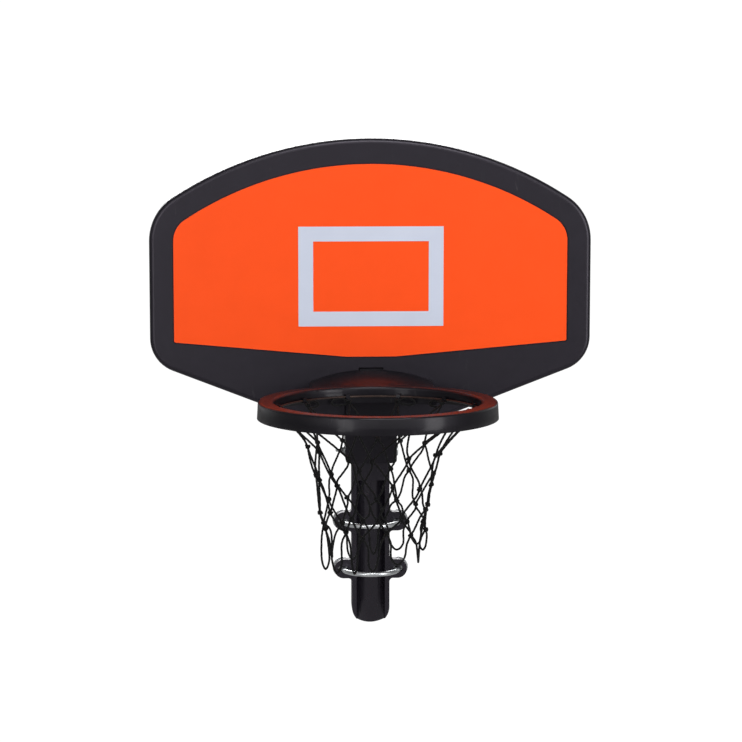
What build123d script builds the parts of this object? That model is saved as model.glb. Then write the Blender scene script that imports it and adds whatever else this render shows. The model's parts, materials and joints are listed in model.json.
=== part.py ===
from build123d import *
import os
from math import radians, tan

# Basketball hoop that clamps to an upright pole.
# Frame: +Z up, the hoop faces -Y, millimetres. The origin is on the clamped pole's axis, midway
# between the two U-bolts, so everything on the board stands above it.

os.makedirs("parts", exist_ok=True)

# ---------------------------------------------------------------- driving dimensions
# Pole bracket: a moulded post with a half-round trough for the pole
pole_radius = 23.75
post_half_width = 31.6
post_depth = 38.0
post_bottom = -137.0
post_wall = 3.5
post_flange = 5.0
trough_top = 110.0
rib_pitch = 38.0
rib_thickness = 3.0
pocket_top_wall = 8.0

# Ears and U-bolts
ubolt_spacing = 81.0
leg_half_spacing = 46.5
ear_half_span = 61.0
ear_half_height = 16.0
ear_thickness = 16.0
ear_root_radius = 6.0
ear_slot_length = 17.0
ear_slot_width = 9.0
rod_radius = 4.0
leg_end = 34.0
washer_radius = 17.0
washer_flat = 32.0
washer_hole = 4.5
washer_thickness = 2.0
nut_across_flats = 13.0
nut_height = 6.5
nut_bore = 4.05
nut_chamfer_radius = 7.02
rod_chamfer = 1.0
seat_gap = 0.1

# Pivot between the bracket's tongue and the socket block
pivot_y = post_depth / 2
pivot_z = 159.0
tongue_radius = 18.9
bush_radius = 6.0
bush_bore = 3.05
pivot_bolt_radius = 3.0
pivot_bolt_end = 58.0
pivot_head_radius = 10.5
pivot_head_height = 2.6
pivot_head_round = 2.08
pivot_washer_radius = 7.0
pivot_washer_thickness = 1.4
wing_hub_radius = 5.6
wing_hub_height = 6.5
wing_bore = 3.05
wing_span = 15.0
wing_reach = 12.0
wing_thickness = 3.0
wing_tip_radius = 1.8
wing_root = 4.48
wing_shoulder = 6.6
wing_edge_radius = 1.0
wing_hub_taper = 6.0

# Socket block
block_half_width = 42.6
block_bottom = 142.4
block_top = 250.5
block_front = -21.0
block_back = 42.0
block_wall = 4.0
block_corner = 6.0
tongue_side_gap = 0.8
tongue_roof = 192.0
plate_half_width = 92.0
plate_top = 300.0
plate_thickness = 5.0

# Backboard
board_front = -10.0
board_depth = 36.0
board_half_width = 365.0
board_datum = 295.4
board_top = board_datum + 385.0
board_top_radius = 598.0
board_shoulder_radius = 85.0
board_corner = board_datum + 16.0
board_corner_radius = 58.0
board_foot_half_width = 43.0
board_foot = board_datum - 108.6
corner_search = 1.0
tolerance = 0.01
board_edge_radius = 8.0
board_skin = 4.0
board_wall = 3.5
notch_gap = 1.0
notch_top = block_top + 1.0

# Orange panel and target rectangle
panel_half_width = 325.0
panel_top = board_datum + 343.0
panel_top_radius = 560.0
panel_bottom = board_datum + 24.5
panel_flat_half_width = 40.0
panel_slope = 5.07
panel_corner_radius = 42.0
panel_low_radius = 3.0
panel_thickness = 1.4
panel_groove = 1.8
panel_groove_depth = 3.0
target_half_width = 119.9
target_bottom = board_datum + 75.2
target_top = board_datum + 240.3
target_band = 24.5
target_thickness = 0.4

# Rear cover and its screws
cover_thickness = 3.0
cover_gap = 0.3
cover_rib_height = 3.0
cover_rib_width = 12.0
boss_radius = 5.5
screw_hole = 1.7
screw_radius = 1.65
screw_length = 16.0
screw_head_radius = 4.0
screw_head_height = 2.4
cover_bar_length = 260.0
cover_bar_centre = board_datum + 160.0
cover_bar_places = [110.0, 250.0]
cover_rail_length = 560.0
cover_rail_heights = [board_datum + 90.0, board_datum + 230.0]
screw_half_places = [
    (338.0, 395.0),
    (338.0, 500.0),
    (215.0, 620.0),
    (75.0, 657.0),
    (270.0, 300.0),
    (140.0, 255.0),
]

# Rim: an inverted channel ring with a domed neck
rim_y = -236.0
rim_top = 278.6
rim_inner = 163.0
rim_shoulder = 188.5
rim_outer = 190.0
rim_height = 27.0
rim_inner_height = 17.0
rim_wall = 3.0
rim_edge_radius = 4.0
neck_half_width = 102.0
neck_start = -105.0
neck_slope_start = -68.0
neck_rise = 19.8
neck_start_rise = 0.1
neck_edge_radius = 5.0
neck_flange = 6.0
neck_ribs = [-50.0, 0.0, 50.0]
rim_lip_radius = 5.0
hook_half_width = 19.0
hook_bottom = board_datum - 2.0
hook_top = board_datum + 4.7
hook_gap = 1.5

# Rim bolts through the board to the socket block's plate
rim_bolt_places = [-75.0, -28.0, 28.0, 75.0]
rim_bolt_z = 268.0
rim_bolt_radius = 4.0
rim_bolt_hole = 4.5
rim_bolt_boss = 9.0
rim_head_height = 5.3
rim_washer_radius = 9.0
rim_washer_thickness = 1.6
rim_bolt_tail = 4.0
hook_end_gap = 1.0

# Net and what it hangs from
net_points = 12
wire_ring_radius = 161.0
wire_radius = 1.6
wire_rise = 1.0
wire_z = rim_top - rim_inner_height + wire_rise
clip_width = 7.0
clip_depth = 5.0
clip_height = 8.0
net_thickness = 2.5
net_tiers = [(150.0, 260.0), (118.0, 212.0), (86.0, 135.0), (75.0, -2.0)]
net_seam = 0.2

ubolt_heights = {"upper": ubolt_spacing / 2, "lower": -ubolt_spacing / 2}
ear_back = ear_thickness
nut_start = ear_back + washer_thickness + seat_gap


def front_plane(y):
    """Plane seen from the front at depth y: sketch x is +X, sketch y is +Z, and it faces -Y."""
    return Plane.XZ.offset(-y)


def rim_location(z):
    return Location((0, rim_y, z))


def finish_part(builder, name):
    builder.part.label = name
    export_step(builder.part, "parts/" + name + ".step")


# ---------------------------------------------------------------- pole bracket
# Pockets behind the trough leave side walls, the trough's wall and a ladder of cross ribs
pocket_half_width = post_half_width - post_wall
foot_centre = post_bottom + post_half_width
pocket_top = block_bottom - pocket_top_wall

with BuildPart() as bracket_pockets:
    with BuildSketch(front_plane(post_flange)):
        with Locations((0, (foot_centre + pocket_top) / 2)):
            Rectangle(2 * pocket_half_width, pocket_top - foot_centre)
        with Locations((0, foot_centre)):
            Circle(pocket_half_width)
    extrude(amount=-post_depth)
    with BuildSketch(Plane.XY.offset(post_bottom)):
        Circle(pole_radius + post_wall)
    extrude(amount=trough_top + post_wall - post_bottom, mode=Mode.SUBTRACT)
    rib_count = int((pocket_top - foot_centre) / rib_pitch) + 1
    for rib in range(rib_count):
        with Locations((0, post_depth, foot_centre + rib * rib_pitch)):
            Box(2 * post_half_width, 2 * post_depth, rib_thickness, mode=Mode.SUBTRACT)

with BuildPart() as pole_bracket:
    post_top = pivot_z + tongue_radius + seat_gap
    with BuildSketch(front_plane(0)):
        with Locations((0, (foot_centre + post_top) / 2)):
            Rectangle(2 * post_half_width, post_top - foot_centre)
        with Locations((0, foot_centre)):
            Circle(post_half_width)
    extrude(amount=-post_depth)
    fillet(pole_bracket.edges().filter_by(Axis.X).group_by(Axis.Z)[-1], radius=tongue_radius)
    for height in ubolt_heights.values():
        with BuildSketch(front_plane(0)) as ear_outline:
            with Locations((0, height)):
                SlotOverall(2 * ear_half_span, 2 * ear_half_height)
                Rectangle(2 * post_half_width, 2 * ear_half_height + 4 * ear_root_radius)
            roots = ear_outline.vertices().filter_by(
                lambda v: abs(abs(v.X) - post_half_width) < tolerance
                and abs(abs(v.Y - height) - ear_half_height) < tolerance
            )
            fillet(roots, radius=ear_root_radius)
        extrude(amount=-ear_thickness)
    add(bracket_pockets.part, mode=Mode.SUBTRACT)
    with BuildSketch(Plane.XY.offset(post_bottom)):
        Circle(pole_radius)
    extrude(amount=trough_top - post_bottom, mode=Mode.SUBTRACT)
    with BuildSketch(front_plane(0)):
        with GridLocations(2 * leg_half_spacing, ubolt_spacing, 2, 2):
            SlotOverall(ear_slot_length, ear_slot_width)
    extrude(amount=-ear_thickness, mode=Mode.SUBTRACT)
    with BuildSketch(Plane.YZ.offset(-post_half_width)):
        with Locations((pivot_y, pivot_z)):
            Circle(bush_radius)
    extrude(amount=2 * post_half_width, mode=Mode.SUBTRACT)
finish_part(pole_bracket, "pole_bracket")

with BuildPart() as pivot_bush:
    with BuildSketch(Plane.YZ.offset(-post_half_width)):
        with Locations((pivot_y, pivot_z)):
            Circle(bush_radius)
            Circle(bush_bore, mode=Mode.SUBTRACT)
    extrude(amount=2 * post_half_width)
finish_part(pivot_bush, "pivot_bush")


# ---------------------------------------------------------------- U-bolts, flat-sided washers and nuts
def make_ubolt(height):
    """A round rod bent to a half circle in front of the bracket, with two legs going back."""
    with BuildPart() as ubolt:
        with BuildLine(Plane.XY.offset(height)) as route:
            Line((-leg_half_spacing, leg_end), (-leg_half_spacing, 0))
            ThreePointArc((-leg_half_spacing, 0), (0, -leg_half_spacing), (leg_half_spacing, 0))
            Line((leg_half_spacing, 0), (leg_half_spacing, leg_end))
        with BuildSketch(Plane(origin=(-leg_half_spacing, leg_end, height), z_dir=(0, -1, 0))):
            Circle(rod_radius)
        sweep(path=route.wires()[0])
        chamfer(ubolt.edges().group_by(Axis.Y)[-1], length=rod_chamfer)
    return ubolt


def make_nut(x, y, z, across_flats, height, bore):
    """A hexagon nut lying along Y with chamfered corners at both ends."""
    with BuildPart() as nut:
        with BuildSketch(front_plane(y)):
            with Locations((x, z)):
                RegularPolygon(across_flats / 2, 6, major_radius=False)
        extrude(amount=-height)
        with BuildSketch(front_plane(y)):
            with Locations((x, z)):
                Circle(nut_chamfer_radius)
        extrude(amount=-height, mode=Mode.INTERSECT)
        with BuildSketch(front_plane(y)):
            with Locations((x, z)):
                Circle(bore)
        extrude(amount=-height, mode=Mode.SUBTRACT)
    return nut


for level, height in ubolt_heights.items():
    finish_part(make_ubolt(height), "ubolt_" + level)
    for side, x in (("left", -leg_half_spacing), ("right", leg_half_spacing)):
        nut = make_nut(x, nut_start, height, nut_across_flats, nut_height, nut_bore)
        finish_part(nut, "ubolt_nut_" + level + "_" + side)

with BuildPart() as ubolt_washers:
    with BuildSketch(front_plane(ear_back)):
        with GridLocations(2 * leg_half_spacing, ubolt_spacing, 2, 2):
            Circle(washer_radius)
            Circle(washer_hole, mode=Mode.SUBTRACT)
        Rectangle(2 * washer_flat, 2 * ubolt_spacing, mode=Mode.SUBTRACT)
    extrude(amount=-washer_thickness)
finish_part(ubolt_washers, "ubolt_washers")

# ---------------------------------------------------------------- socket block
plate_front = board_front + board_depth
block_height = block_top - block_bottom
socket_half_width = post_half_width + tongue_side_gap
with BuildPart() as socket_block:
    with BuildSketch(front_plane(block_front)) as block_outline:
        with Locations((0, (block_top + block_bottom) / 2)):
            Rectangle(2 * block_half_width, block_height)
        fillet(block_outline.vertices().group_by(Axis.Y)[0], radius=block_corner)
    extrude(amount=-(block_back - block_front))
    with BuildSketch(front_plane(plate_front)) as plate_outline:
        with Locations((0, (plate_top + tongue_roof) / 2)):
            Rectangle(2 * plate_half_width, plate_top - tongue_roof)
        fillet(plate_outline.vertices(), radius=2 * block_corner)
    extrude(amount=-plate_thickness)
    # room for the tongue, open below and behind
    with BuildSketch(front_plane(block_front + block_wall)):
        with Locations((0, (tongue_roof + block_bottom) / 2 - block_corner)):
            Rectangle(2 * socket_half_width, tongue_roof - block_bottom + 2 * block_corner)
    extrude(amount=-(block_back - block_front), mode=Mode.SUBTRACT)
    # hollow above the roof, in front of the plate and behind it
    core_bottom = tongue_roof + block_wall
    with BuildSketch(front_plane(block_front + block_wall)):
        with Locations((0, (core_bottom + block_top) / 2 + block_wall)):
            Rectangle(2 * (block_half_width - block_wall), block_top - core_bottom + 2 * block_wall)
    extrude(amount=-(plate_front - block_front - block_wall), mode=Mode.SUBTRACT)
    with BuildSketch(front_plane(plate_front + plate_thickness)):
        with Locations((0, (core_bottom + block_top) / 2 + block_wall)):
            Rectangle(2 * (block_half_width - block_wall), block_top - core_bottom + 2 * block_wall)
    extrude(amount=-(block_back - plate_front), mode=Mode.SUBTRACT)
    with BuildSketch(Plane.YZ.offset(-block_half_width)):
        with Locations((pivot_y, pivot_z)):
            Circle(pivot_bolt_radius + seat_gap)
    extrude(amount=2 * block_half_width, mode=Mode.SUBTRACT)
    with BuildSketch(front_plane(plate_front)):
        with Locations(*[(x, rim_bolt_z) for x in rim_bolt_places]):
            Circle(rim_bolt_hole)
    extrude(amount=-plate_thickness, mode=Mode.SUBTRACT)
finish_part(socket_block, "socket_block")

# ---------------------------------------------------------------- pivot bolt, washers and wing nut
washer_face = block_half_width + pivot_washer_thickness
with BuildPart() as pivot_bolt:
    with BuildSketch(Plane.YZ.offset(-pivot_bolt_end)):
        with Locations((pivot_y, pivot_z)):
            Circle(pivot_bolt_radius)
    extrude(amount=pivot_bolt_end + washer_face)
    with BuildSketch(Plane.YZ.offset(washer_face)):
        with Locations((pivot_y, pivot_z)):
            Circle(pivot_head_radius)
    extrude(amount=pivot_head_height)
    fillet(pivot_bolt.edges().group_by(Axis.X)[-1], radius=pivot_head_round)
    chamfer(pivot_bolt.edges().group_by(Axis.X)[0], length=rod_chamfer)
finish_part(pivot_bolt, "pivot_bolt")

with BuildPart() as pivot_washers:
    for start in (-washer_face, block_half_width):
        with BuildSketch(Plane.YZ.offset(start)):
            with Locations((pivot_y, pivot_z)):
                Circle(pivot_washer_radius)
                Circle(pivot_bolt_radius + seat_gap, mode=Mode.SUBTRACT)
        extrude(amount=pivot_washer_thickness)
finish_part(pivot_washers, "pivot_washers")

# The wing nut's wings lie front and back at rest and lean away from the block
hub_start = -(washer_face + seat_gap)
with BuildPart() as wing_nut:
    with BuildSketch(Plane.XY.offset(pivot_z - wing_thickness / 2)) as wing_outline:
        for way in (-1, 1):
            with BuildLine():
                Polyline(
                    (hub_start - wing_edge_radius, pivot_y),
                    (hub_start - wing_edge_radius, pivot_y + way * wing_root),
                    (hub_start - wing_shoulder, pivot_y + way * wing_span),
                    (hub_start - wing_reach, pivot_y + way * wing_span),
                    (hub_start - wing_hub_height, pivot_y + way * wing_root),
                    (hub_start - wing_hub_height, pivot_y),
                    close=True,
                )
            make_face()
        tips = wing_outline.vertices().filter_by(lambda v: abs(abs(v.Y - pivot_y) - wing_span) < tolerance)
        fillet(tips, radius=wing_tip_radius)
    extrude(amount=wing_thickness)
    fillet(wing_nut.edges().filter_by(Axis.Z, reverse=True), radius=wing_edge_radius)
    with BuildSketch(Plane.YZ.offset(hub_start)):
        with Locations((pivot_y, pivot_z)):
            Circle(wing_hub_radius)
    extrude(amount=-wing_hub_height, taper=wing_hub_taper)
    with BuildSketch(Plane.YZ.offset(hub_start)):
        with Locations((pivot_y, pivot_z)):
            Circle(wing_bore)
    extrude(amount=-2 * wing_reach, mode=Mode.SUBTRACT)
finish_part(wing_nut, "wing_nut")


# ---------------------------------------------------------------- backboard
def board_face(y, inset):
    """The board's outline at depth y: an arched top, straight sides and a tapered foot."""
    with BuildSketch(front_plane(y)) as face:
        with BuildLine():
            shoulder = board_top - board_top_radius + (board_top_radius**2 - board_half_width**2) ** 0.5
            ThreePointArc((-board_half_width, shoulder), (0, board_top), (board_half_width, shoulder))
            Polyline(
                (board_half_width, shoulder),
                (board_half_width, board_corner),
                (board_foot_half_width, board_foot),
                (-board_foot_half_width, board_foot),
                (-board_half_width, board_corner),
                (-board_half_width, shoulder),
            )
        make_face()
        sides = face.vertices().filter_by(lambda v: abs(v.X) > board_half_width - corner_search)
        fillet(sides.group_by(Axis.Y)[-1], radius=board_shoulder_radius)
        sides = face.vertices().filter_by(lambda v: abs(v.X) > board_half_width - corner_search)
        fillet(sides.group_by(Axis.Y)[0], radius=board_corner_radius)
        if inset:
            offset(amount=-inset, mode=Mode.REPLACE)
    return face.sketch


def panel_face(y, grow):
    """The orange panel's outline: an arched top and a shallow V along the bottom."""
    with BuildSketch(front_plane(y)) as face:
        with BuildLine():
            corner_z = panel_top - panel_top_radius + (panel_top_radius**2 - panel_half_width**2) ** 0.5
            run = panel_half_width - panel_flat_half_width
            low_corner = panel_bottom + run * tan(radians(panel_slope))
            ThreePointArc((-panel_half_width, corner_z), (0, panel_top), (panel_half_width, corner_z))
            Polyline(
                (panel_half_width, corner_z),
                (panel_half_width, low_corner),
                (panel_flat_half_width, panel_bottom),
                (-panel_flat_half_width, panel_bottom),
                (-panel_half_width, low_corner),
                (-panel_half_width, corner_z),
            )
        make_face()
        sides = face.vertices().filter_by(lambda v: abs(v.X) > panel_half_width - corner_search)
        fillet(sides.group_by(Axis.Y)[-1], radius=panel_corner_radius)
        sides = face.vertices().filter_by(lambda v: abs(v.X) > panel_half_width - corner_search)
        fillet(sides.group_by(Axis.Y)[0], radius=panel_low_radius)
        if grow:
            offset(amount=grow, mode=Mode.REPLACE)
    return face.sketch


screw_places = [(way * x, z) for x, z in screw_half_places for way in (-1, 1)]
board_back = board_front + board_depth
cover_front = board_back - cover_thickness
skin_back = board_front + board_skin

with BuildPart() as backboard_shell:
    extrude(board_face(board_front, 0), amount=-board_depth)
    fillet(backboard_shell.faces().sort_by(Axis.Y)[0].edges(), radius=board_edge_radius)
    extrude(board_face(skin_back, board_wall), amount=-board_depth, mode=Mode.SUBTRACT)
    with BuildSketch(front_plane(skin_back)):
        with Locations(*screw_places):
            Circle(boss_radius)
        with Locations(*[(x, rim_bolt_z) for x in rim_bolt_places]):
            Circle(rim_bolt_boss)
    extrude(amount=-(cover_front - skin_back))
    # a wall round the notch where the socket block passes through
    notch_half_width = block_half_width + notch_gap
    with BuildSketch(front_plane(skin_back)):
        with Locations((0, (board_foot + notch_top + board_wall) / 2)):
            Rectangle(2 * (notch_half_width + board_wall), notch_top + board_wall - board_foot)
    extrude(amount=-(cover_front - skin_back))
    with BuildSketch(front_plane(board_front)):
        with Locations((0, (board_foot + notch_top) / 2 - notch_gap)):
            Rectangle(2 * notch_half_width, notch_top - board_foot + 2 * notch_gap)
    extrude(amount=-board_depth, mode=Mode.SUBTRACT)
    # the panel sits on its bed, and a deeper groove runs round it
    extrude(panel_face(board_front, panel_groove), amount=-panel_groove_depth, mode=Mode.SUBTRACT)
    extrude(panel_face(board_front + panel_thickness, 0), amount=panel_thickness - panel_groove_depth)
    with BuildSketch(front_plane(skin_back + board_wall)):
        with Locations(*screw_places):
            Circle(screw_hole)
    extrude(amount=-board_depth, mode=Mode.SUBTRACT)
    with BuildSketch(front_plane(board_front)):
        with Locations(*[(x, rim_bolt_z) for x in rim_bolt_places]):
            Circle(rim_bolt_hole)
    extrude(amount=-board_depth, mode=Mode.SUBTRACT)
    # slot above the neck that the rim's hook drops into
    with BuildSketch(front_plane(board_front)):
        with Locations((0, (hook_top + hook_gap + hook_bottom) / 2)):
            Rectangle(2 * (hook_half_width + hook_gap), hook_top + hook_gap - hook_bottom)
    extrude(amount=-board_skin, mode=Mode.SUBTRACT)
finish_part(backboard_shell, "backboard_shell")

with BuildPart() as rear_cover:
    extrude(board_face(cover_front, board_wall + cover_gap), amount=-cover_thickness)
    with BuildSketch(front_plane(cover_front)):
        with Locations((0, (board_foot + notch_top) / 2 - notch_gap)):
            Rectangle(
                2 * (notch_half_width + board_wall + cover_gap),
                notch_top - board_foot + 2 * (notch_gap + board_wall + cover_gap),
            )
    extrude(amount=-cover_thickness, mode=Mode.SUBTRACT)
    with BuildSketch(front_plane(cover_front)):
        with Locations(*screw_places):
            Circle(screw_hole + cover_gap)
        with Locations(*[(x, rim_bolt_z) for x in rim_bolt_places]):
            Circle(rim_bolt_hole)
    extrude(amount=-cover_thickness, mode=Mode.SUBTRACT)
    # raised stiffening bars, two upright and two level
    with BuildSketch(front_plane(board_back)):
        with Locations(*[(way * x, cover_bar_centre) for way in (-1, 1) for x in cover_bar_places]):
            SlotOverall(cover_bar_length, cover_rib_width, rotation=90)
        with Locations(*[(0, z) for z in cover_rail_heights]):
            SlotOverall(cover_rail_length, cover_rib_width)
    extrude(amount=-cover_rib_height)
finish_part(rear_cover, "rear_cover")

with BuildPart() as cover_screws:
    with BuildSketch(front_plane(board_back - screw_length)):
        with Locations(*screw_places):
            Circle(screw_radius)
    extrude(amount=-screw_length)
    with BuildSketch(front_plane(board_back)):
        with Locations(*screw_places):
            Circle(screw_head_radius)
    extrude(amount=-screw_head_height)
finish_part(cover_screws, "cover_screws")

with BuildPart() as orange_panel:
    extrude(panel_face(board_front, 0), amount=-panel_thickness)
finish_part(orange_panel, "orange_panel")

with BuildPart() as target_frame:
    target_height = target_top - target_bottom
    with BuildSketch(front_plane(board_front - target_thickness)):
        with Locations((0, (target_top + target_bottom) / 2)):
            Rectangle(2 * target_half_width, target_height)
            Rectangle(
                2 * (target_half_width - target_band), target_height - 2 * target_band, mode=Mode.SUBTRACT
            )
    extrude(amount=-target_thickness)
finish_part(target_frame, "target_frame")


# ---------------------------------------------------------------- rim and neck
def neck_sections(margin, drop, depth):
    """Three upright sections of the neck: flat over the ring, then sloping up to an arch at the board."""
    half_width = neck_half_width - margin
    side_top = rim_top - drop
    rises = {neck_start: neck_start_rise, neck_slope_start: neck_start_rise, board_front: neck_rise}
    sections = []
    for y, rise in rises.items():
        with BuildSketch(front_plane(y)) as section:
            with BuildLine():
                ThreePointArc((-half_width, side_top), (0, side_top + rise), (half_width, side_top))
                Polyline(
                    (half_width, side_top),
                    (half_width, rim_top - depth),
                    (-half_width, rim_top - depth),
                    (-half_width, side_top),
                )
            make_face()
            fillet(section.vertices().group_by(Axis.Y)[-1], radius=neck_edge_radius - margin)
        sections.append(section.sketch)
    return sections


# The hollow under the dome keeps the ring's two walls, the flange and a few ribs
with BuildPart() as neck_hollow:
    loft(neck_sections(rim_wall, rim_wall, 2 * rim_height), ruled=True)
    for wall_outer in (rim_inner + rim_wall, rim_outer):
        with BuildSketch(Plane.XY.offset(rim_top - 2 * rim_height)):
            with Locations((0, rim_y)):
                Circle(wall_outer)
                Circle(wall_outer - rim_wall, mode=Mode.SUBTRACT)
        extrude(amount=4 * rim_height, mode=Mode.SUBTRACT)
    with BuildSketch(Plane.XY.offset(rim_top - 2 * rim_height)):
        with Locations((0, rim_y)):
            Circle(rim_inner)
        with Locations((0, board_front)):
            Rectangle(2 * neck_half_width, 2 * neck_flange)
        with Locations(*[(x, (neck_start + board_front) / 2) for x in neck_ribs]):
            Rectangle(rib_thickness, board_front - neck_start)
    extrude(amount=4 * rim_height, mode=Mode.SUBTRACT)

with BuildPart() as rim_frame:
    with BuildSketch(Plane.YZ) as channel:
        with BuildLine():
            Polyline(
                (rim_y + rim_inner, rim_top),
                (rim_y + rim_shoulder, rim_top),
                (rim_y + rim_outer, rim_top - rim_height),
                (rim_y + rim_outer - rim_wall, rim_top - rim_height),
                (rim_y + rim_shoulder - rim_wall, rim_top - rim_wall),
                (rim_y + rim_inner + rim_wall, rim_top - rim_wall),
                (rim_y + rim_inner + rim_wall, rim_top - rim_inner_height),
                (rim_y + rim_inner, rim_top - rim_inner_height),
                close=True,
            )
        make_face()
        top_corners = channel.vertices().filter_by(lambda v: v.Y > rim_top - corner_search).sort_by(Axis.X)
        fillet(top_corners[-1], radius=rim_edge_radius)
    revolve(axis=Axis((0, rim_y, 0), (0, 0, 1)))
    loft(neck_sections(0, 0, rim_height), ruled=True)
    with BuildSketch(Plane.XY.offset(rim_top - 2 * rim_height)):
        with Locations((0, rim_y)):
            Circle(rim_inner)
    extrude(amount=4 * rim_height, mode=Mode.SUBTRACT)
    # the lip is rounded all the way round, across the neck as well
    with BuildSketch(Plane.YZ):
        with Locations((rim_y + rim_inner, rim_top)):
            Rectangle(2 * rim_lip_radius, 2 * rim_lip_radius)
        with Locations((rim_y + rim_inner + rim_lip_radius, rim_top - rim_lip_radius)):
            Circle(rim_lip_radius, mode=Mode.SUBTRACT)
    revolve(axis=Axis((0, rim_y, 0), (0, 0, 1)), mode=Mode.SUBTRACT)
    add(neck_hollow.part, mode=Mode.SUBTRACT)
    with BuildSketch(front_plane(board_front)):
        with Locations(*[(x, rim_bolt_z) for x in rim_bolt_places]):
            Circle(rim_bolt_hole)
    extrude(amount=neck_flange, mode=Mode.SUBTRACT)
    # hook that enters the slot in the board's face
    with BuildSketch(front_plane(board_front - rib_thickness)):
        with Locations((0, (hook_top + hook_bottom) / 2)):
            Rectangle(2 * hook_half_width, hook_top - hook_bottom)
    extrude(amount=-(board_skin - hook_end_gap + rib_thickness))
finish_part(rim_frame, "rim_frame")

# ---------------------------------------------------------------- rim bolts, washers and nuts
flange_face = board_front - neck_flange
plate_back = plate_front + plate_thickness
bolt_tip = plate_back + rim_washer_thickness + nut_height + rim_bolt_tail
with BuildPart() as rim_bolts:
    with BuildSketch(front_plane(flange_face - rim_head_height)):
        with Locations(*[(x, rim_bolt_z) for x in rim_bolt_places]):
            RegularPolygon(nut_across_flats / 2, 6, major_radius=False)
    extrude(amount=-rim_head_height)
    with BuildSketch(front_plane(flange_face)):
        with Locations(*[(x, rim_bolt_z) for x in rim_bolt_places]):
            Circle(rim_bolt_radius)
    extrude(amount=-(bolt_tip - flange_face))
finish_part(rim_bolts, "rim_bolts")

with BuildPart() as rim_washers:
    with BuildSketch(front_plane(plate_back)):
        with Locations(*[(x, rim_bolt_z) for x in rim_bolt_places]):
            Circle(rim_washer_radius)
            Circle(rim_bolt_radius + seat_gap, mode=Mode.SUBTRACT)
    extrude(amount=-rim_washer_thickness)
finish_part(rim_washers, "rim_washers")

with BuildPart() as rim_nuts:
    with BuildSketch(front_plane(plate_back + rim_washer_thickness)):
        with Locations(*[(x, rim_bolt_z) for x in rim_bolt_places]):
            RegularPolygon(nut_across_flats / 2, 6, major_radius=False)
            Circle(rim_bolt_radius, mode=Mode.SUBTRACT)
    extrude(amount=-nut_height)
finish_part(rim_nuts, "rim_nuts")

# ---------------------------------------------------------------- net and what it hangs from
with BuildPart() as net_wire_ring:
    with Locations(rim_location(wire_z)):
        Torus(wire_ring_radius, wire_radius)
finish_part(net_wire_ring, "net_wire_ring")

with BuildPart() as net_clips:
    with Locations(rim_location(wire_z)):
        with PolarLocations(rim_inner - clip_depth / 2, net_points, start_angle=180 / net_points):
            Box(clip_depth, clip_width, clip_height)
    with Locations(rim_location(wire_z)):
        Torus(wire_ring_radius, wire_radius, mode=Mode.SUBTRACT)
        Cylinder(rim_inner + clip_depth, 2 * clip_height, mode=Mode.INTERSECT)
    with BuildSketch(Plane.XY.offset(wire_z - clip_height)):
        with Locations((0, rim_y)):
            Circle(rim_inner + clip_depth)
            Circle(rim_inner, mode=Mode.SUBTRACT)
    extrude(amount=2 * clip_height, mode=Mode.SUBTRACT)
finish_part(net_clips, "net_clips")

# The net's envelope: a closed panel for each mesh column in each of three tiers, open above and below
column_angle = 360 / net_points
net_panels = []
for (top_radius, top_z), (low_radius, low_z) in zip(net_tiers, net_tiers[1:]):
    with BuildPart() as net_panel:
        with BuildSketch(Plane.XZ):
            with BuildLine():
                Polyline(
                    (top_radius, top_z - net_seam),
                    (low_radius, low_z),
                    (low_radius - net_thickness, low_z),
                    (top_radius - net_thickness, top_z - net_seam),
                    close=True,
                )
            make_face()
        extrude(amount=top_radius, both=True)
        with BuildSketch(Plane.XY.offset(low_z)):
            with BuildLine():
                reach = 2 * top_radius
                half_width = reach * tan(radians(column_angle / 2))
                Polyline((net_seam, 0), (reach, half_width), (reach, -half_width), close=True)
            make_face()
        extrude(amount=top_z - low_z, mode=Mode.INTERSECT)
    net_panels.append(net_panel.part)

with BuildPart() as net:
    with Locations(rim_location(0)):
        with PolarLocations(0, net_points, start_angle=column_angle / 2):
            for panel in net_panels:
                add(panel)
finish_part(net, "net")
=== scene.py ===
import json
import math
import random

import bpy
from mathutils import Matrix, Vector


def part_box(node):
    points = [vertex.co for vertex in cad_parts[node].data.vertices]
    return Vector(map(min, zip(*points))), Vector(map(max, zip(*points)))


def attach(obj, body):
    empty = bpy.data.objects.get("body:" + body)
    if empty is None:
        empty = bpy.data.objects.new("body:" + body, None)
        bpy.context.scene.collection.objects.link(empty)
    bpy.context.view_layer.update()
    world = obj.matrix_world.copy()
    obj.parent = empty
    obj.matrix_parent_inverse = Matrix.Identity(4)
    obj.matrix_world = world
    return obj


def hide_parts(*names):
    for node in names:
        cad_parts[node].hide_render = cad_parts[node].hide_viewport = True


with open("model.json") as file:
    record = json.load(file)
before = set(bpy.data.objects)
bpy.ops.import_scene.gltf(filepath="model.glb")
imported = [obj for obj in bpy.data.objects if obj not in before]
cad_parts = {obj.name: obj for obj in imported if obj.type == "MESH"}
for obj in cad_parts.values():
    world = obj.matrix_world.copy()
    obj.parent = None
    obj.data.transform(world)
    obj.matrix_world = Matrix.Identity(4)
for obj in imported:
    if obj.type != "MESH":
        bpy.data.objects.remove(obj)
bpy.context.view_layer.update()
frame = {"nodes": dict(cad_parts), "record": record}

draws = random.Random(41)

# ---------------------------------------------------------------- places that the CAD gives, in metres
RIM_CENTRE = Vector((0.0, -0.236, 0.0))
WIRE_RADIUS = 0.161
WIRE_Z = 0.2626
NET_POINTS = 12
LEG_X = 0.0465
ROD_RADIUS = 0.004
LEG_END = 0.034
UBOLT_HEIGHTS = {"upper": 0.0405, "lower": -0.0405}


# ---------------------------------------------------------------- node helpers
def new_material(name):
    material = bpy.data.materials.new(name)
    material.use_nodes = True
    tree = material.node_tree
    shader = tree.nodes["Principled BSDF"]
    return material, tree, shader


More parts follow.
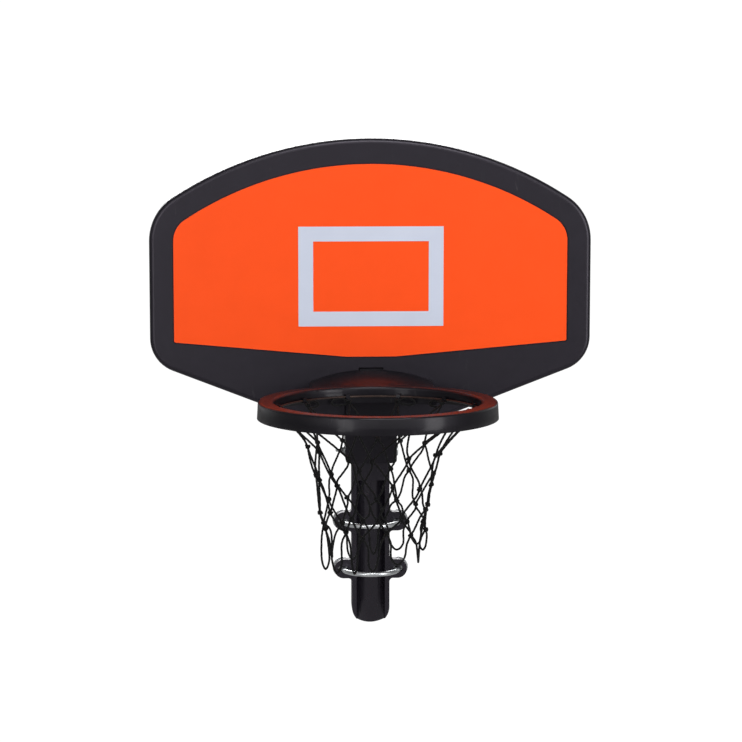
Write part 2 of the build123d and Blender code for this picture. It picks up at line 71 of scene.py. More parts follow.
def object_coordinates(tree):
    return tree.nodes.new("ShaderNodeTexCoord").outputs["Object"]


def noise(tree, scale, detail=3.0, roughness=0.55, distortion=0.0, stretch=None):
    """A noise texture in metres; stretch scales its axes, which draws it out along the small ones."""
    texture = tree.nodes.new("ShaderNodeTexNoise")
    texture.inputs["Scale"].default_value = scale
    texture.inputs["Detail"].default_value = detail
    texture.inputs["Roughness"].default_value = roughness
    texture.inputs["Distortion"].default_value = distortion
    source = object_coordinates(tree)
    if stretch:
        mapping = tree.nodes.new("ShaderNodeMapping")
        mapping.inputs["Scale"].default_value = stretch
        tree.links.new(source, mapping.inputs["Vector"])
        source = mapping.outputs["Vector"]
    tree.links.new(source, texture.inputs["Vector"])
    return texture.outputs["Fac"]


def ramp(tree, source, stops):
    """A colour ramp; each stop is a place and a grey level or a colour."""
    node = tree.nodes.new("ShaderNodeValToRGB")
    elements = node.color_ramp.elements
    while len(elements) < len(stops):
        elements.new(0.5)
    for element, (place, value) in zip(elements, stops):
        element.position = place
        colour = value if isinstance(value, tuple) else (value, value, value)
        element.color = (*colour, 1.0)
    tree.links.new(source, node.inputs["Fac"])
    return node.outputs["Color"]


def remap(tree, source, low, high, from_low=0.25, from_high=0.75):
    node = tree.nodes.new("ShaderNodeMapRange")
    node.inputs["From Min"].default_value = from_low
    node.inputs["From Max"].default_value = from_high
    node.inputs["To Min"].default_value = low
    node.inputs["To Max"].default_value = high
    tree.links.new(source, node.inputs["Value"])
    return node.outputs["Result"]


def bump(tree, height, distance, strength, under=None):
    node = tree.nodes.new("ShaderNodeBump")
    node.inputs["Distance"].default_value = distance
    node.inputs["Strength"].default_value = strength
    tree.links.new(height, node.inputs["Height"])
    if under:
        tree.links.new(under, node.inputs["Normal"])
    return node.outputs["Normal"]


# How many noise features a metre of plastic holds: slow colour, scuffs, gloss and sink marks
MOTTLE_SCALE = 24.0
SCUFF_SCALE = 90.0
GLOSS_SCALE = 160.0
SINK_SCALE = 14.0
SINK_DEPTH = 0.0015
COAT_ROUGHNESS = 0.16
PLASTIC_IOR = 1.5


def plastic(name, dark, light, rough, grain, depth, waviness=0.25, scuffs=0.02, gloss=0.5, skin=0.0,
            tint=(1.0, 1.0, 1.0)):
    """Moulded plastic: spark-eroded grain, slow sink marks and scuffs; skin adds a sharper gloss."""
    material, tree, shader = new_material(name)
    mottle = noise(tree, MOTTLE_SCALE, 4.0)
    scratches = noise(tree, SCUFF_SCALE, 6.0, 0.65, 1.2, stretch=(1.0, 1.0, 0.18))
    base = ramp(tree, mottle, [(0.3, dark), (0.7, light)])
    worn = ramp(tree, scratches, [(0.62, 0.0), (0.74, 1.0)])
    mix = tree.nodes.new("ShaderNodeMix")
    mix.data_type = "RGBA"
    mix.blend_type = "ADD"
    scale = tree.nodes.new("ShaderNodeMath")
    scale.operation = "MULTIPLY"
    scale.inputs[1].default_value = scuffs
    tree.links.new(worn, scale.inputs[0])
    tree.links.new(base, mix.inputs["A"])
    tree.links.new(worn, mix.inputs["B"])
    tree.links.new(scale.outputs["Value"], mix.inputs["Factor"])
    tree.links.new(mix.outputs["Result"], shader.inputs["Base Color"])
    low, high = rough
    fine = noise(tree, GLOSS_SCALE, 4.0)
    tree.links.new(remap(tree, fine, low, high), shader.inputs["Roughness"])
    shader.inputs["IOR"].default_value = PLASTIC_IOR
    shader.inputs["Specular IOR Level"].default_value = gloss
    shader.inputs["Specular Tint"].default_value = (*tint, 1.0)
    shader.inputs["Coat Weight"].default_value = skin
    shader.inputs["Coat Roughness"].default_value = COAT_ROUGHNESS
    grain_height = noise(tree, grain, 2.0, 0.6)
    sink = noise(tree, SINK_SCALE, 1.0)
    slow = bump(tree, sink, SINK_DEPTH, waviness)
    tree.links.new(bump(tree, grain_height, depth, 0.5, slow), shader.inputs["Normal"])
    return material


def metal(name, dark, light, rough, brushed=None, depth=0.00006, metallic=1.0):
    """Plated or blackened steel: clouded colour, drawn or tumbled marks and uneven roughness."""
    material, tree, shader = new_material(name)
    cloud = noise(tree, 70.0, 5.0, 0.6)
    tree.links.new(ramp(tree, cloud, [(0.32, dark), (0.68, light)]), shader.inputs["Base Color"])
    shader.inputs["Metallic"].default_value = metallic
    low, high = rough
    marks = noise(tree, 600.0, 4.0, 0.6, 0.4, stretch=brushed)
    tree.links.new(remap(tree, marks, low, high), shader.inputs["Roughness"])
    tree.links.new(bump(tree, marks, depth, 0.6), shader.inputs["Normal"])
    return material


def cord_material(name):
    """Black braided cord: matt fibre with short crossing plaits."""
    material, tree, shader = new_material(name)
    fibre = noise(tree, 900.0, 3.0, 0.6)
    tree.links.new(ramp(tree, fibre, [(0.3, (0.0008, 0.0008, 0.001)), (0.72, (0.003, 0.0028, 0.0034))]),
                   shader.inputs["Base Color"])
    tree.links.new(remap(tree, fibre, 0.55, 0.85), shader.inputs["Roughness"])
    shader.inputs["Specular IOR Level"].default_value = 0.2
    shader.inputs["Sheen Weight"].default_value = 0.05
    shader.inputs["Sheen Roughness"].default_value = 0.4
    plait = tree.nodes.new("ShaderNodeTexVoronoi")
    plait.inputs["Scale"].default_value = 1100.0
    tree.links.new(object_coordinates(tree), plait.inputs["Vector"])
    tree.links.new(bump(tree, plait.outputs["Distance"], 0.0003, 0.6), shader.inputs["Normal"])
    return material


BLACK_TINT = (0.93, 0.86, 1.0)
board_plastic = plastic("board_plastic", (0.0034, 0.0027, 0.0050), (0.0052, 0.0043, 0.0074),
                        (0.32, 0.40), 1500.0, 0.00004, gloss=0.50, tint=BLACK_TINT)
bracket_plastic = plastic("bracket_plastic", (0.0046, 0.0039, 0.0062), (0.0070, 0.0061, 0.0090),
                          (0.26, 0.32), 1300.0, 0.000012, waviness=0.06, gloss=0.60, tint=BLACK_TINT)
# A darker copy of the black plastic: painted shade for the socket block, which sits under the rim and net
socket_shade_painted_plastic = plastic("socket_shade_painted_plastic", (0.0018, 0.0015, 0.0026), (0.0030, 0.0026, 0.0040),
                         (0.36, 0.44), 1300.0, 0.00003, gloss=0.3, tint=BLACK_TINT)
rim_plastic = plastic("rim_plastic", (0.0024, 0.0020, 0.0033), (0.0038, 0.0033, 0.0050),
                      (0.38, 0.46), 1700.0, 0.000012, waviness=0.05, gloss=0.22, skin=0.27, tint=BLACK_TINT)
orange_plastic = plastic("orange_plastic", (0.94, 0.076, 0.0055), (0.97, 0.080, 0.0066),
                         (0.30, 0.38), 1200.0, 0.00002, waviness=0.06, scuffs=0.004, gloss=0.22)
target_grey = plastic("target_grey", (0.545, 0.585, 0.70), (0.57, 0.61, 0.725),
                      (0.42, 0.52), 2200.0, 0.00002, waviness=0.06, scuffs=0.01)
zinc_steel = metal("zinc_steel", (0.52, 0.54, 0.56), (0.72, 0.74, 0.74), (0.24, 0.38), depth=0.00002)
wing_zinc = metal("wing_zinc", (0.26, 0.27, 0.28), (0.44, 0.45, 0.46), (0.24, 0.40), depth=0.00002)
black_steel = metal("black_steel", (0.02, 0.02, 0.022), (0.05, 0.048, 0.05), (0.3, 0.5), metallic=0.6)
# Black steel for the wire ring with a brownish tint that is a painted reflection of the orange panel
wire_steel_painted_reflection = metal("wire_steel_painted_reflection", (0.022, 0.012, 0.010), (0.050, 0.030, 0.024), (0.35, 0.55), metallic=0.5)
net_cord = cord_material("net_cord")

SLOT_MATERIALS = {
    "board_plastic": board_plastic,
    "bracket_plastic": bracket_plastic,
    "rim_plastic": rim_plastic,
    "orange_plastic": orange_plastic,
    "target_grey": target_grey,
    "zinc_steel": zinc_steel,
    "black_steel": black_steel,
    "net_cord": net_cord,
}
for part in frame["record"]["subparts"]:
    node = frame["nodes"][part["node"]]
    node.data.materials.clear()
    node.data.materials.append(SLOT_MATERIALS[part["material_slot"]])
# The wire ring's brownish tint is a painted reflection of the orange panel
frame["nodes"]["net_wire_ring"].data.materials[0] = wire_steel_painted_reflection
# The socket block gets the darker copy of the black plastic, which is painted shade
frame["nodes"]["socket_block"].data.materials[0] = socket_shade_painted_plastic
frame["nodes"]["wing_nut"].data.materials[0] = wing_zinc


def soften(names, width, segments=2, angle=35.0):
    """Rounds the sharp edges of CAD nodes with a bevel modifier; their meshes stay as they are."""
    for name in names:
        node = frame["nodes"][name]
        weld = node.modifiers.new("weld", "WELD")
        weld.merge_threshold = 0.00002
        rounding = node.modifiers.new("edges", "BEVEL")
        rounding.width = width
        rounding.segments = segments
        rounding.limit_method = "ANGLE"
        rounding.angle_limit = math.radians(angle)
        rounding.harden_normals = True


# ---------------------------------------------------------------- mesh helpers
def piece(name, verts, faces, material, body, smooth=True):
    mesh = bpy.data.meshes.new(name)
    mesh.from_pydata([tuple(v) for v in verts], [], faces)
    mesh.validate()
    mesh.update()
    mesh.materials.append(material)
    if smooth:
        mesh.polygons.foreach_set("use_smooth", [True] * len(mesh.polygons))
    made = bpy.data.objects.new(name, mesh)
    bpy.context.scene.collection.objects.link(made)
    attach(made, body)
    return made


class Mesh:
    """Collects vertices and faces of one piece."""

    def __init__(self):
        self.verts = []
        self.faces = []

    def rings(self, rings, closed=False, caps=True):
        """Skins a row of rings of equal length; closed joins the last ring to the first."""
        first = len(self.verts)
        count = len(rings[0])
        for ring in rings:
            self.verts.extend(ring)
        pairs = len(rings) if closed else len(rings) - 1
        for row in range(pairs):
            here = first + row * count
            there = first + (row + 1) % len(rings) * count
            for i in range(count):
                j = (i + 1) % count
                self.faces.append((here + i, here + j, there + j, there + i))
        if caps and not closed:
            self.faces.append(tuple(first + i for i in reversed(range(count))))
            last = first + (len(rings) - 1) * count
            self.faces.append(tuple(last + i for i in range(count)))


def frames_along(points, closed=False):
    """A tangent and two normals at each point, carried along without twisting."""
    count = len(points)
    tangents = []
    for i in range(count):
        before = points[(i - 1) % count] if closed or i else points[i]
        after = points[(i + 1) % count] if closed or i < count - 1 else points[i]
        tangents.append((after - before).normalized())
    helper = Vector((0, 0, 1)) if abs(tangents[0].z) < 0.9 else Vector((1, 0, 0))
    normal = tangents[0].cross(helper).normalized()
    result = []
    for tangent in tangents:
        normal = (normal - tangent * normal.dot(tangent)).normalized()
        result.append((tangent, normal, tangent.cross(normal)))
    return result


def tube_rings(points, radius, sides, closed=False, lobes=0, lobe_depth=0.0, pitch=0.01):
    """Round or twisted-strand rings along points; radius may be a number or one value per point."""
    rings = []
    along = 0.0
    for i, (tangent, normal, side) in enumerate(frames_along(points, closed)):
        if i:
            along += (points[i] - points[i - 1]).length
        size = radius[i] if isinstance(radius, list) else radius
        ring = []
        for step in range(sides):
            angle = 2 * math.pi * step / sides
            reach = size
            if lobes:
                reach *= 1 + lobe_depth * math.cos(lobes * (angle - 2 * math.pi * along / pitch))
            ring.append(points[i] + normal * reach * math.cos(angle) + side * reach * math.sin(angle))
        rings.append(ring)
    return rings


def smooth_path(controls, step, closed=False):
    """Points about a step apart on a Catmull-Rom curve through the controls."""
    count = len(controls)
    last = count if closed else count - 1
    points = []
    for i in range(last):
        a = controls[(i - 1) % count] if closed or i else controls[0] * 2 - controls[1]
        b = controls[i]
        c = controls[(i + 1) % count]
        d = controls[(i + 2) % count] if closed or i < count - 2 else c * 2 - b
        parts = max(2, round((c - b).length / step))
        for k in range(parts):
            t = k / parts
            points.append(0.5 * (2 * b + (c - a) * t + (2 * a - 5 * b + 4 * c - d) * t * t
                                 + (3 * b - a - 3 * c + d) * t * t * t))
    if not closed:
        points.append(controls[-1].copy())
    return points


# ---------------------------------------------------------------- net
CORD_RADIUS = 0.00168
CORD_SIDES = 9
CORD_STEP = 0.0022
HANGER_Z = 0.2545
HANGER_R = 0.1515
# Knot rows from the top: height and radius
NET_ROWS = [(0.198, 0.1045), (0.153, 0.0945), (0.108, 0.0855), (0.076, 0.080)]
# The rows' centre sits this far off the ring's centre
NET_DRIFT = -0.004
COLUMN_ANGLE = 360 / NET_POINTS
HANGER_SPREAD = 0.002
KNOT_STEPS = 42
KNOT_SIZE = 0.0040
HANGER_KNOT_SIZE = 0.0042
LEFT_LIFT = 0.012
LOOP_HALF_WIDTH = 0.0295
LOOP_INSET = 0.002
LOOP_DROP = 0.006
# A hanging loop's points: how far round it they lie, their height and how far in from the wire
LOOP_SHAPE = (
    (0.05, -0.001, 0.007),
    (0.3, 0.0035, 0.002),
    (0.7, 0.004, 0.0015),
    (0.96, 0.0005, 0.002),
    (0.98, -0.004, 0.0025),
    (0.7, -0.0062, 0.003),
    (0.3, -0.0055, 0.004),
    (0.05, -0.003, 0.008),
)
net_mesh = Mesh()
knot_mesh = Mesh()


def lay_cord(controls, closed=False):
    points = smooth_path(controls, CORD_STEP, closed)
    net_mesh.rings(
        tube_rings(points, CORD_RADIUS, CORD_SIDES, closed, lobes=3, lobe_depth=0.10, pitch=0.009),
        closed,
    )


def lay_knot(centre, axis, size):
    """An overhand knot: a trefoil of cord round the given axis."""
    axis = axis.normalized()
    across = axis.cross(Vector((0.31, 0.87, 0.23))).normalized()
    other = axis.cross(across)
    turn = draws.uniform(0, 2 * math.pi)
    points = []
    for k in range(KNOT_STEPS):
        t = 2 * math.pi * k / KNOT_STEPS
        u = math.sin(t + turn) + 2 * math.sin(2 * t + turn)
        v = math.cos(t + turn) - 2 * math.cos(2 * t + turn)
        w = -math.sin(3 * t)
        points.append(centre + (across * u + other * v) * size / 3.6 + axis * w * size / 2.0)
    rings = tube_rings(points, CORD_RADIUS * 0.98, 7, True, lobes=3, lobe_depth=0.08, pitch=0.006)
    knot_mesh.rings(rings, True)


def net_point(radius, angle, z, drift):
    return RIM_CENTRE + Vector((drift + radius * math.cos(angle), radius * math.sin(angle), z))


def bunch(angle):
    """Draws the strands together on the left and opens them on the right, as the net hangs."""
    return angle + 0.16 * math.sin(2 * angle + 0.5) * 0.5


hangers = []
for i in range(NET_POINTS):
    angle = math.radians(15 + COLUMN_ANGLE * i)
    wobble = draws.uniform(-0.02, 0.02)
    height = HANGER_Z + draws.uniform(-HANGER_SPREAD, HANGER_SPREAD)
    hangers.append((angle + wobble, net_point(HANGER_R, angle + wobble, height, 0)))

rows = []
for level, (z, radius) in enumerate(NET_ROWS):
    row = []
    for i in range(NET_POINTS):
        angle = math.radians(15 + COLUMN_ANGLE * i + (15 if level % 2 == 0 else 0))
        angle = bunch(angle) + draws.uniform(-0.06, 0.06)
        reach = radius + draws.uniform(-0.004, 0.004)
        # the top row is drawn up on the left
        lift = LEFT_LIFT * max(0.0, -math.cos(angle)) if level == 0 else 0.0
        row.append(net_point(reach, angle, z + lift + draws.uniform(-0.006, 0.006), NET_DRIFT))
    rows.append(row)

# Loops that run through the clips and lie along the rim's inner wall, each closed by a knot
for i in range(NET_POINTS):
    angle, knot = hangers[i]
    way = 1 if i % 2 else -1
    reach = LOOP_HALF_WIDTH / WIRE_RADIUS
    start = angle
    loop = []
    for part, lift, inward in LOOP_SHAPE:
        around = start + way * part * reach
        loop.append(net_point(WIRE_RADIUS - LOOP_INSET - inward, around, WIRE_Z - LOOP_DROP + lift, 0))
    lay_cord(loop, closed=True)
    lay_knot(knot + Vector((0, 0, 0.002)), Vector((0, 0, 1)), HANGER_KNOT_SIZE)


def strand(start, end, sag, pull, sway):
    """One strand between two knots: it sags, is drawn towards the net's axis and sways sideways."""
    axis = RIM_CENTRE + Vector((NET_DRIFT, 0, start.z))
    inward = axis - start.lerp(end, 0.5)
    inward.z = 0
    inward.normalize()
    aside = Vector((-inward.y, inward.x, 0))
    first = draws.uniform(-sway, sway)
    second = draws.uniform(-sway, sway) * 0.6 - first * 0.4
    points = [start]
    for part, bow, lean in ((0.22, 0.7, first), (0.5, 1.0, (first + second) / 2), (0.78, 0.7, second)):
        fall = Vector((0, 0, -sag * bow))
        points.append(start.lerp(end, part) + inward * pull * bow + aside * lean + fall)
    lay_cord(points + [end])


for i in range(NET_POINTS):
    knot = hangers[i][1]
    for target in (rows[0][i], rows[0][(i - 1) % NET_POINTS]):
        strand(knot, target, draws.uniform(0.0, 0.003), draws.uniform(0.002, 0.006), 0.0025)
for level in range(len(rows) - 1):
    for i in range(NET_POINTS):
        neighbour = (i + 1) % NET_POINTS if level % 2 == 0 else (i - 1) % NET_POINTS
        for target in (rows[level + 1][i], rows[level + 1][neighbour]):
            strand(rows[level][i], target, draws.uniform(0.0, 0.002), draws.uniform(-0.002, 0.002), 0.0045)
for level, row in enumerate(rows):
    for knot in row:
        lay_knot(knot, Vector((draws.uniform(-0.3, 0.3), draws.uniform(-0.3, 0.3), 1)), KNOT_SIZE)
# Loops along the bottom edge hang from the last row of knots
for i in range(NET_POINTS):
    a = rows[-1][i]
    b = rows[-1][(i + 1) % NET_POINTS]
    # the loops hang lower on the left than on the right, and turn where they would be seen edge-on
    middle = (a + b) / 2
    leftward = -(middle.x - RIM_CENTRE.x) / NET_ROWS[-1][1]
    low = draws.uniform(0.014, 0.034) - 0.014 * leftward
    spread = draws.uniform(0.14, 0.34) * (1 - 0.4 * abs(leftward))
    half = (b - a) * spread
    twist = 0.9 * abs(leftward) ** 3
    half = Vector((half.x * math.cos(twist) - half.y * math.sin(twist),
                   half.x * math.sin(twist) + half.y * math.cos(twist), 0))
    left = middle - half
    right = middle + half
    swing = Vector((draws.uniform(-0.003, 0.003), draws.uniform(-0.003, 0.003), 0))
    drop = a.z - low
    lay_cord([
        a,
        Vector((left.x, left.y, a.z - drop * 0.4)).lerp(a, 0.25),
        Vector((left.x, left.y, low + drop * 0.22)) + swing,
        Vector((middle.x, middle.y, low)) + swing,
        Vector((right.x, right.y, low + drop * 0.22)) + swing,
        Vector((right.x, right.y, b.z - drop * 0.4)).lerp(b, 0.25),
        b,
    ])

net_piece = piece("net_cords", net_mesh.verts, net_mesh.faces, net_cord, "board")
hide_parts("net")
piece("net_knots", knot_mesh.verts, knot_mesh.faces, net_cord, "board")


# ---------------------------------------------------------------- U-bolts with rolled threads
THREAD_PITCH = 0.00125
THREAD_DEPTH = 0.00055
THREAD_START = -0.004
THREAD_SIDES = 28
THREAD_STEPS_PER_TURN = 8
THREAD_RUN_IN = 0.002
TIP_LENGTH = 0.0012
TIP_CUT = 0.0011
BEND_STEPS = 64


def make_ubolt(level):
    height = UBOLT_HEIGHTS[level]
    mesh = Mesh()
    rings = []

    def ring(centre, tangent, radius_at):
        up = Vector((0, 0, 1))
        side = tangent.cross(up).normalized()
        points = []
        for k in range(THREAD_SIDES):
            angle = 2 * math.pi * k / THREAD_SIDES
            reach = radius_at(angle)
            points.append(centre + side * reach * math.cos(angle) + up * reach * math.sin(angle))
        rings.append(points)

    def leg(x, start, end, tangent):
        steps = round(abs(end - start) / (THREAD_PITCH / THREAD_STEPS_PER_TURN))
        for k in range(steps + 1):
            y = start + (end - start) * k / steps
            tip = max(0.0, min(1.0, (LEG_END - y) / TIP_LENGTH))
            run_in = max(0.0, min(1.0, (y - THREAD_START) / THREAD_RUN_IN))

            def thread(angle, y=y, tip=tip, run_in=run_in):
                turn = (y / THREAD_PITCH + angle / (2 * math.pi)) % 1.0
                valley = abs(turn - 0.5) * 2
                cut = THREAD_DEPTH * run_in * max(0.0, min(1.0, (valley - 0.12) / 0.76))
                return ROD_RADIUS - cut - TIP_CUT * (1 - tip)

            ring(Vector((x, y, height)), tangent, thread)

    leg(-LEG_X, LEG_END, THREAD_START + 0.004, Vector((0, -1, 0)))
    for k in range(1, BEND_STEPS):
        angle = math.pi * k / BEND_STEPS
        centre = Vector((-LEG_X * math.cos(angle), -LEG_X * math.sin(angle), height))
        ring(centre, Vector((LEG_X * math.sin(angle), -LEG_X * math.cos(angle), 0)).normalized(),
             lambda angle: ROD_RADIUS)
    leg(LEG_X, THREAD_START + 0.004, LEG_END, Vector((0, 1, 0)))
    mesh.rings(rings)
    rod = piece("ubolt_rod_" + level, mesh.verts, mesh.faces, zinc_steel, "ubolt_" + level)
    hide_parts("ubolt_" + level)


for level in UBOLT_HEIGHTS:
    make_ubolt(level)


# ---------------------------------------------------------------- hexagon nuts with chamfered corners
ACROSS_FLATS = 0.013
NUT_BORE = 0.00405
NUT_SIDES = 48


def hex_profile(angle, across_flats):
    folded = (angle + math.pi / 6) % (math.pi / 3) - math.pi / 6
    return across_flats / 2 / math.cos(folded)


def add_nut(mesh, x, y, z, across_flats, height, bore, turn=0.0):
    """A nut on an axis along Y: flats cut by a cone at both ends, and a countersunk bore."""
    corner = across_flats / 2 * 1.1547
    levels = [0.0, 0.0004, 0.0010, 0.0018, height - 0.0018, height - 0.0010, height - 0.0004, height]
    rings = []

    def ring(radius_at, depth):
        points = []
        for k in range(NUT_SIDES):
            angle = 2 * math.pi * k / NUT_SIDES + turn
            reach = radius_at(2 * math.pi * k / NUT_SIDES)
            points.append(Vector((x + reach * math.cos(angle), y + depth, z + reach * math.sin(angle))))
        rings.append(points)

    ring(lambda a: bore + 0.0006, 0.0)
    for depth in levels:
        edge = min(depth, height - depth)
        limit = across_flats / 2 * 0.955 + edge * 1.7
        ring(lambda a, limit=min(limit, corner): min(limit, hex_profile(a, across_flats)), depth)
    ring(lambda a: bore + 0.0006, height)
    ring(lambda a: bore, height - 0.0007)
    ring(lambda a: bore, 0.0007)
    mesh.rings(rings, closed=True)


def add_rod(mesh, start, end, radius, thread_length, pitch, depth):
    """A straight rod whose last thread_length is threaded, with a chamfered tip."""
    along = (end - start).normalized()
    helper = Vector((0, 0, 1)) if abs(along.z) < 0.9 else Vector((1, 0, 0))
    across = along.cross(helper).normalized()
    other = along.cross(across)
    length = (end - start).length
    plain = length - thread_length
    places = [0.0, plain]
    steps = round(thread_length / (pitch / 6))
    places += [plain + thread_length * (k + 1) / steps for k in range(steps)]
    rings = []
    for place in places:
        tip = max(0.0, 1 - (length - place) / 0.001)
        run_in = max(0.0, min(1.0, (place - plain) / 0.002))
        ring = []
        for k in range(24):
            angle = 2 * math.pi * k / 24
            turn = (place / pitch + angle / (2 * math.pi)) % 1.0
            valley = abs(turn - 0.5) * 2
            reach = radius - depth * run_in * max(0.0, min(1.0, (valley - 0.12) / 0.76)) - 0.0008 * tip
            centre = start + along * place
            ring.append(centre + across * reach * math.cos(angle) + other * reach * math.sin(angle))
        rings.append(ring)
    mesh.rings(rings)


def add_screw(mesh, x, y, z, radius, height, length):
    """A pan-head screw facing +Y with a cross recess."""
    sides = 40

    def ring(radius_at, depth):
        return [Vector((x + radius_at(a) * math.cos(a), y + depth, z + radius_at(a) * math.sin(a)))
                for a in (2 * math.pi * k / sides for k in range(sides))]

    def cross(size):
        return lambda a: size * (0.3 + 0.7 * abs(math.cos(2 * a)) ** 5)

    mesh.rings([
        ring(lambda a: radius * 0.41, -length + height),
        ring(lambda a: radius * 0.41, 0.0),
        ring(lambda a: radius, 0.0),
        ring(lambda a: radius, height * 0.35),
        ring(lambda a: radius * 0.94, height * 0.62),
        ring(lambda a: radius * 0.8, height * 0.84),
        ring(lambda a: radius * 0.62, height * 0.97),
        ring(cross(radius * 0.58), height),
        ring(cross(radius * 0.50), height * 0.3),
        ring(cross(radius * 0.15), height * 0.1),
    ])


for level, height in UBOLT_HEIGHTS.items():
    for side, x in (("left", -LEG_X), ("right", LEG_X)):
        node = "ubolt_nut_" + level + "_" + side
        low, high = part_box(node)
        nut = Mesh()
        add_nut(nut, x, low[1], height, ACROSS_FLATS, high[1] - low[1], NUT_BORE)
        made = piece(node + "_hex", nut.verts, nut.faces, zinc_steel, "nut_" + level + "_" + side,
                     smooth=False)
        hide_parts(node)

RIM_BOLT_PLACES = (-0.075, -0.028, 0.028, 0.075)
RIM_BOLT_Z = 0.268
RIM_HEAD_HEIGHT = 0.0053
RIM_HEAD_BORE = 0.0032
RIM_ROD_START = 0.0012
RIM_THREAD_LENGTH = 0.018
bolt_low, bolt_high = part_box("rim_bolts")
nut_low, nut_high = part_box("rim_nuts")
bolts = Mesh()
nuts = Mesh()
for x in RIM_BOLT_PLACES:
    add_nut(bolts, x, bolt_low[1], RIM_BOLT_Z, ACROSS_FLATS, RIM_HEAD_HEIGHT, RIM_HEAD_BORE)
    rod_start = Vector((x, bolt_low[1] + RIM_ROD_START, RIM_BOLT_Z))
    rod_end = Vector((x, bolt_high[1], RIM_BOLT_Z))
    add_rod(bolts, rod_start, rod_end, ROD_RADIUS, RIM_THREAD_LENGTH, THREAD_PITCH, THREAD_DEPTH)
    nut_height = nut_high[1] - nut_low[1]
    add_nut(nuts, x, nut_low[1], RIM_BOLT_Z, ACROSS_FLATS, nut_height, NUT_BORE, draws.uniform(0, 1))
made_bolts = piece("rim_bolts_threaded", bolts.verts, bolts.faces, zinc_steel, "board",
                   smooth=False)
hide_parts("rim_bolts")
made_nuts = piece("rim_nuts_hex", nuts.verts, nuts.faces, zinc_steel, "board", smooth=False)
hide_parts("rim_nuts")

SCREW_HALF_PLACES = (
    (0.338, 0.395),
    (0.338, 0.500),
    (0.215, 0.620),
    (0.075, 0.657),
    (0.270, 0.300),
    (0.140, 0.255),
)
SCREW_SEAT_Y = 0.026
SCREW_RADIUS = 0.004
SCREW_HEAD_HEIGHT = 0.0024
SCREW_LENGTH = 0.0184
screws = Mesh()
for x, z in SCREW_HALF_PLACES:
    for way in (-1, 1):
        add_screw(screws, way * x, SCREW_SEAT_Y, z, SCREW_RADIUS, SCREW_HEAD_HEIGHT, SCREW_LENGTH)
made_screws = piece("cover_screws_cross", screws.verts, screws.faces, black_steel, "board",
                    smooth=False)
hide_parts("cover_screws")

soften(["backboard_shell", "rear_cover", "socket_block", "pole_bracket"], 0.0006)
soften(["rim_frame"], 0.0008)
soften(["ubolt_washers", "pivot_washers", "rim_washers"], 0.0003)
soften(["wing_nut", "net_clips"], 0.0004)
soften(["target_frame", "orange_panel"], 0.00015)

# ---------------------------------------------------------------- floor, light and camera
FLOOR_Z = -0.55
BACKDROP_STRENGTH = 1.05


def stage_floor():
    mesh = Mesh()
    steps = 48
    rings = []
    for reach in (0.4, 1.5, 5.0, 14.0):
        ring = []
        for k in range(steps):
            angle = 2 * math.pi * k / steps
            ring.append(Vector((reach * math.cos(angle), reach * math.sin(angle), FLOOR_Z)))
        rings.append(ring)
    mesh.rings(rings, caps=False)
    mesh.faces.append(tuple(range(steps)))
    made = bpy.data.meshes.new("floor")
    made.from_pydata([tuple(v) for v in mesh.verts], [], mesh.faces)
    material, tree, shader = new_material("floor")
    shader.inputs["Base Color"].default_value = (0.42, 0.42, 0.42, 1)
    shader.inputs["Roughness"].default_value = 0.9
    light = tree.nodes.new("ShaderNodeEmission")
    light.inputs["Strength"].default_value = BACKDROP_STRENGTH
    seen = tree.nodes.new("ShaderNodeLightPath")
    mix = tree.nodes.new("ShaderNodeMixShader")
    tree.links.new(seen.outputs["Is Camera Ray"], mix.inputs["Fac"])
    tree.links.new(shader.outputs["BSDF"], mix.inputs[1])
    tree.links.new(light.outputs["Emission"], mix.inputs[2])
    tree.links.new(mix.outputs["Shader"], tree.nodes["Material Output"].inputs["Surface"])
    made.materials.append(material)
    floor = bpy.data.objects.new("floor", made)
    bpy.context.scene.collection.objects.link(floor)


stage_floor()

world = bpy.data.worlds.new("studio")
bpy.context.scene.world = world
world.use_nodes = True
tree = world.node_tree
tree.nodes.clear()
out = tree.nodes.new("ShaderNodeOutputWorld")
white = tree.nodes.new("ShaderNodeBackground")
white.inputs["Color"].default_value = (1.0, 1.0, 1.0, 1.0)
white.inputs["Strength"].default_value = BACKDROP_STRENGTH
dim = tree.nodes.new("ShaderNodeBackground")
where = tree.nodes.new("ShaderNodeTexCoord")
split = tree.nodes.new("ShaderNodeSeparateXYZ")
tree.links.new(where.outputs["Generated"], split.inputs["Vector"])
levels = ramp(tree, remap(tree, split.outputs["Z"], 0.0, 1.0, -1.0, 1.0),
              [(0.0, 0.05), (0.40, 0.20), (0.455, 0.34), (0.492, 0.80), (0.52, 1.5), (0.6, 0.9), (1.0, 0.5)])
tree.links.new(levels, dim.inputs["Color"])
facing = ramp(tree, remap(tree, split.outputs["Y"], 0.0, 1.0, -1.0, 1.0),
              [(0.03, 1.0), (0.42, 0.22), (0.68, 0.24), (0.9, 0.9)])
tree.links.new(facing, dim.inputs["Strength"])
seen = tree.nodes.new("ShaderNodeLightPath")
mix = tree.nodes.new("ShaderNodeMixShader")
tree.links.new(seen.outputs["Is Camera Ray"], mix.inputs["Fac"])
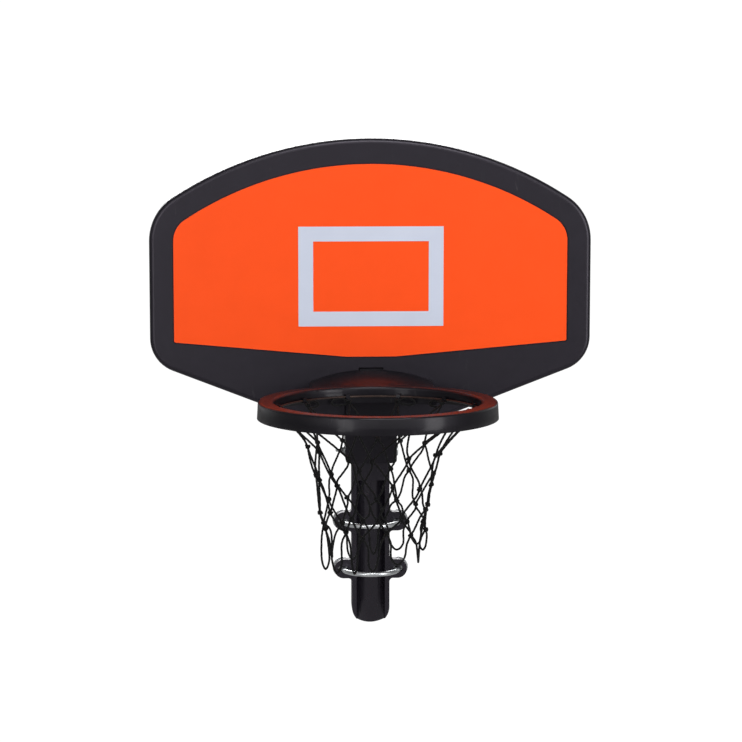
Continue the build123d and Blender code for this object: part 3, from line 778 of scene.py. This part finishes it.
tree.links.new(dim.outputs["Background"], mix.inputs[1])
tree.links.new(white.outputs["Background"], mix.inputs[2])
tree.links.new(mix.outputs["Shader"], out.inputs["Surface"])

CAMERA_TARGET = Vector((0.0, -0.010, 0.2958))
CAMERA_AZIMUTH = -2.75
CAMERA_ELEVATION = 7.43
CAMERA_DISTANCE = 4.146
SENSOR_WIDTH = 36.0
IMAGE_WIDTH = 742.0
FOCAL_LENGTH = 2500.0


def direction(azimuth, elevation):
    """Unit vector from the object to a place at that azimuth from the front, right positive, and height."""
    a = math.radians(azimuth)
    e = math.radians(elevation)
    return Vector((math.sin(a) * math.cos(e), -math.cos(a) * math.cos(e), math.sin(e)))


def softbox(name, azimuth, elevation, distance, width, height, power):
    light = bpy.data.lights.new(name, "AREA")
    light.shape = "RECTANGLE"
    light.size = width
    light.size_y = height
    light.energy = power
    lamp = bpy.data.objects.new(name, light)
    lamp.location = CAMERA_TARGET + direction(azimuth, elevation) * distance
    lamp.rotation_euler = direction(azimuth, elevation).to_track_quat("Z", "Y").to_euler()
    bpy.context.scene.collection.objects.link(lamp)


softbox("softbox_left", -29, 7, 3.0, 0.7, 2.5, 15)
softbox("softbox_right", 47, 7, 3.0, 0.9, 2.5, 30)
softbox("softbox_top", 8, 54, 2.6, 1.6, 0.9, 26)
softbox("softbox_back", 188, 26, 2.8, 2.2, 1.2, 50)

camera = bpy.data.cameras.new("camera")
camera.sensor_width = SENSOR_WIDTH
camera.lens = FOCAL_LENGTH * SENSOR_WIDTH / IMAGE_WIDTH
view = bpy.data.objects.new("camera", camera)
back = direction(CAMERA_AZIMUTH, CAMERA_ELEVATION)
view.location = CAMERA_TARGET + back * CAMERA_DISTANCE
view.rotation_euler = back.to_track_quat("Z", "Y").to_euler()
bpy.context.scene.collection.objects.link(view)
bpy.context.scene.camera = view
bpy.context.scene.view_settings.view_transform = "Standard"
bpy.context.scene.view_settings.look = "None"

bpy.context.view_layer.update()


def plain(box):
    return [[float(value) for value in corner] for corner in box]
